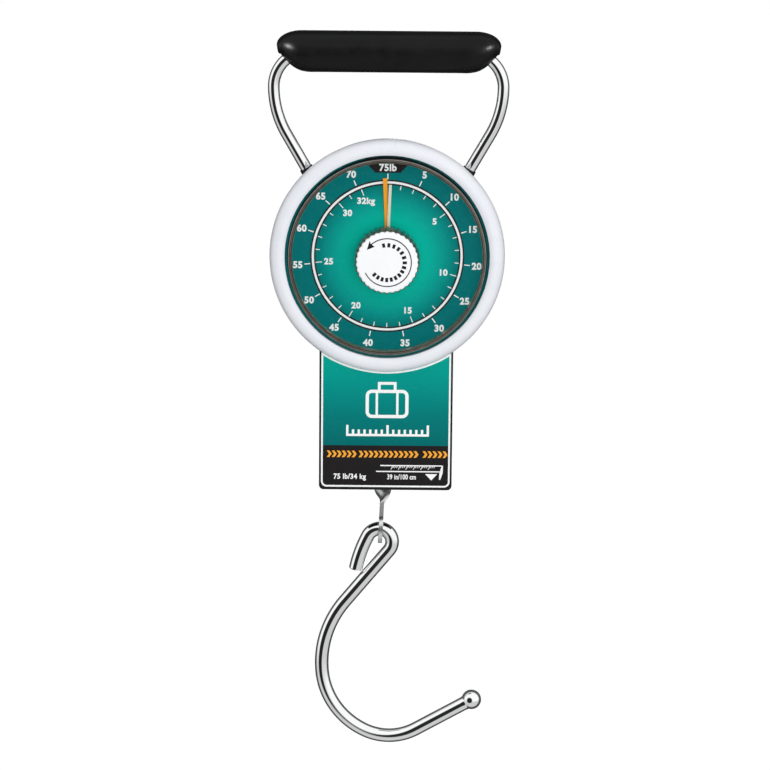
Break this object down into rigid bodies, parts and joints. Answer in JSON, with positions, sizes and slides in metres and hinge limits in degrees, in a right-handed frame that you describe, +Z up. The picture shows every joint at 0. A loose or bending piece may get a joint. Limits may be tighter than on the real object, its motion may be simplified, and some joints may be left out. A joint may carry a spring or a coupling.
{
  "type": "luggage scale",
  "caption": "Hanging spring scale for luggage: round dial with two pointers and a reset knob, wire handle, wire hook, tape measure in the tail.",
  "frame": {"origin": "centre of the grip, on its axis", "axes": "+Z up along the load line, -Y towards the reader of the dial, +X to the right along the grip"},
  "size_m": [0.1024, 0.0412, 0.3133],
  "materials": {
    "grip_plastic": "satin",
    "screw_steel": "blackened",
    "chrome_wire": "polished",
    "black_plastic": "fine grained",
    "zinc_steel": "zinc plated",
    "white_plastic": "glossy",
    "clear_plastic": "clear",
    "printed_dial": "printed, semi-gloss",
    "printed_label": "printed film",
    "spring_steel": "oiled",
    "nylon": "moulded",
    "brass": "machined",
    "felt": "pressed felt",
    "pull_bar_steel": "nickel plated",
    "orange_paint": "semi-gloss",
    "cream_paint": "semi-gloss",
    "knob_plastic": "smoked",
    "tape_yellow": "lacquered steel tape"
  },
  "bodies": {
    "case": {"grip": "grip_plastic", "bail_wire": "chrome_wire", "bail_collars": "black_plastic", "push_nuts": "zinc_steel", "front_case": "black_plastic", "rear_case": "black_plastic", "case_screws": "screw_steel", "bezel_ring": "white_plastic", "dial_window": "clear_plastic", "dial_plate": "printed_dial", "front_label": "printed_label", "frame_plate": "zinc_steel", "spring_pins": "zinc_steel", "rack_guide": "nylon", "bushing_front": "brass", "bushing_rear": "brass", "stem_bushing": "nylon", "reel_arbor": "zinc_steel", "reel_cover": "black_plastic", "reel_screw": "screw_steel", "return_spring": "spring_steel", "tape_mouth": "zinc_steel"},
    "load": {"pull_bar": "pull_bar_steel", "rack": "brass", "rack_rivets": "zinc_steel", "main_spring_left": "spring_steel", "main_spring_right": "spring_steel"},
    "pointer": {"pointer_shaft": "zinc_steel", "pinion": "brass", "pointer_hub": "brass", "live_pointer": "orange_paint"},
    "reset_knob": {"knob_body": "knob_plastic", "knob_face": "white_plastic", "knob_retainer": "zinc_steel", "memory_pointer": "cream_paint", "friction_washer": "felt"},
    "hook": {"hook_rod": "chrome_wire", "hook_ball": "chrome_wire"},
    "tape": {"tape_strip": "tape_yellow", "tape_tab": "zinc_steel"},
    "reel": {"tape_reel": "nylon", "tape_coil": "tape_yellow"}
  },
  "joints": [
    {"name": "load_slide", "type": "slide", "parent": "case", "child": "load", "axis": [0, 0, -1], "range_m": [0, 0.02199], "stiffness_N_per_m": 15160, "deforming": ["main_spring_left", "main_spring_right"]},
    {"name": "hook_swing", "type": "hinge", "parent": "load", "child": "hook", "pos_m": [-0.0018, 0, -0.20708], "axis": [0.999, 0, -0.0436], "range_deg": [-90, 90]},
    {"name": "pointer_turn", "type": "hinge", "parent": "case", "child": "pointer", "pos_m": [0, 0, -0.0857], "axis": [0, 1, 0], "range_deg": [0, 360]},
    {"name": "knob_turn", "type": "hinge", "parent": "case", "child": "reset_knob", "pos_m": [0, 0, -0.0857], "axis": [0, 1, 0], "range_deg": [0, 355]},
    {"name": "tape_pull", "type": "slide", "parent": "case", "child": "tape", "axis": [0, 0, -1], "range_m": [0, 1], "stiffness_N_per_m": 2, "springref_m": -0.5, "deforming": ["tape_strip"]},
    {"name": "reel_turn", "type": "hinge", "parent": "case", "child": "reel", "pos_m": [0.0072, 0, -0.163], "axis": [0, 1, 0], "range_deg": [0, 5300]}
  ],
  "couplings": [
    {"joint": "pointer_turn", "follows": "load_slide", "rad_per_m": 285.71},
    {"joint": "reel_turn", "follows": "tape_pull", "rad_per_m": 92.3}
  ]
}
